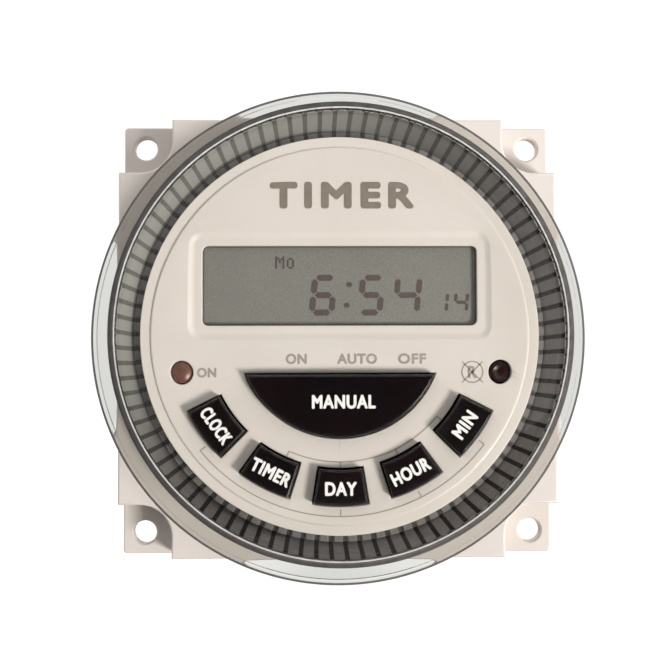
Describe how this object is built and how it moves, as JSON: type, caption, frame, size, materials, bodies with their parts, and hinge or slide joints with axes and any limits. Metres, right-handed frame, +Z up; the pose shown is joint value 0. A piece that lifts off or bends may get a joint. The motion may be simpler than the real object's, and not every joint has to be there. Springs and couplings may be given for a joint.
{
  "type": "din rail timer",
  "caption": "Square digital time switch with a round keyed face under a clear ribbed push-on cover, corner screw ears, blade terminals and a rail foot.",
  "frame": {"origin": "on the rail seat, where the face's centre axis meets the plane that rests on the rail", "axes": "-Y out of the face, +Y towards the rail, +Z up, +X to the right of someone reading the face"},
  "size_m": [0.0662, 0.0377, 0.0662],
  "materials": {
    "cream_plastic": "fine satin moulding",
    "clear_plastic": "clear gloss moulding",
    "key_plastic": "polished black",
    "lcd_glass": "grey-green reflective display",
    "dark_plastic": "satin",
    "indicator_red": "diffused lens, unlit",
    "board_green": "solder mask on glass-fibre board",
    "steel": "zinc plated",
    "brass": "bare",
    "spring_steel": "drawn wire",
    "relay_blue": "moulded",
    "capacitor_yellow": "potted box",
    "battery_green": "sleeved cell",
    "rubber": "silicone",
    "ceramic_blue": "lacquered disc",
    "latch_plastic": "glass-filled moulding"
  },
  "bodies": {
    "housing": {"backup_battery": "battery_green", "board_header": "dark_plastic", "bridge_rectifier": "dark_plastic", "case_screw_1": "steel", "case_screw_2": "steel", "case_screw_3": "steel", "case_screw_4": "steel", "clock_crystal": "steel", "controller_chip": "dark_plastic", "dropper_capacitor": "capacitor_yellow", "front_housing": "cream_plastic", "fusible_resistor": "rubber", "latch_spring": "spring_steel", "lcd_frame": "dark_plastic", "lcd_panel": "lcd_glass", "logic_board": "board_green", "logic_screw_1": "steel", "logic_screw_2": "steel", "power_board": "board_green", "power_screw_1": "steel", "power_screw_2": "steel", "rear_housing": "cream_plastic", "relay": "relay_blue", "smoothing_capacitor": "dark_plastic", "status_led": "indicator_red", "switch_clock": "dark_plastic", "switch_day": "dark_plastic", "switch_hour": "dark_plastic", "switch_manual": "dark_plastic", "switch_min": "dark_plastic", "switch_reset": "dark_plastic", "switch_timer": "dark_plastic", "terminal_1": "brass", "terminal_2": "brass", "terminal_3": "brass", "terminal_4": "brass", "terminal_5": "brass", "varistor": "ceramic_blue", "zebra_strip_lower": "rubber", "zebra_strip_upper": "rubber"},
    "cover": {"clear_cover": "clear_plastic"},
    "latch": {"rail_latch": "latch_plastic"},
    "manual_key": {"key_manual": "key_plastic", "plunger_manual": "rubber"},
    "clock_key": {"key_clock": "key_plastic", "plunger_clock": "rubber"},
    "timer_key": {"key_timer": "key_plastic", "plunger_timer": "rubber"},
    "day_key": {"key_day": "key_plastic", "plunger_day": "rubber"},
    "hour_key": {"key_hour": "key_plastic", "plunger_hour": "rubber"},
    "min_key": {"key_min": "key_plastic", "plunger_min": "rubber"},
    "reset_key": {"key_reset": "key_plastic", "plunger_reset": "rubber"}
  },
  "joints": [
    {"name": "cover_pull", "type": "slide", "parent": "housing", "child": "cover", "axis": [0, -1, 0], "range_m": [0, 0.025]},
    {"name": "latch_slide", "type": "slide", "parent": "housing", "child": "latch", "axis": [0, 0, -1], "range_m": [0, 0.0025], "stiffness_N_per_m": 1500, "springref_m": -0.001, "deforming": ["latch_spring"]},
    {"name": "manual_press", "type": "slide", "parent": "housing", "child": "manual_key", "axis": [0, 1, 0], "range_m": [0, 0.0005], "stiffness_N_per_m": 1500},
    {"name": "clock_press", "type": "slide", "parent": "housing", "child": "clock_key", "axis": [0, 1, 0], "range_m": [0, 0.0005], "stiffness_N_per_m": 1500},
    {"name": "timer_press", "type": "slide", "parent": "housing", "child": "timer_key", "axis": [0, 1, 0], "range_m": [0, 0.0005], "stiffness_N_per_m": 1500},
    {"name": "day_press", "type": "slide", "parent": "housing", "child": "day_key", "axis": [0, 1, 0], "range_m": [0, 0.0005], "stiffness_N_per_m": 1500},
    {"name": "hour_press", "type": "slide", "parent": "housing", "child": "hour_key", "axis": [0, 1, 0], "range_m": [0, 0.0005], "stiffness_N_per_m": 1500},
    {"name": "min_press", "type": "slide", "parent": "housing", "child": "min_key", "axis": [0, 1, 0], "range_m": [0, 0.0005], "stiffness_N_per_m": 1500},
    {"name": "reset_press", "type": "slide", "parent": "housing", "child": "reset_key", "axis": [0, 1, 0], "range_m": [0, 0.0005], "stiffness_N_per_m": 1500}
  ]
}
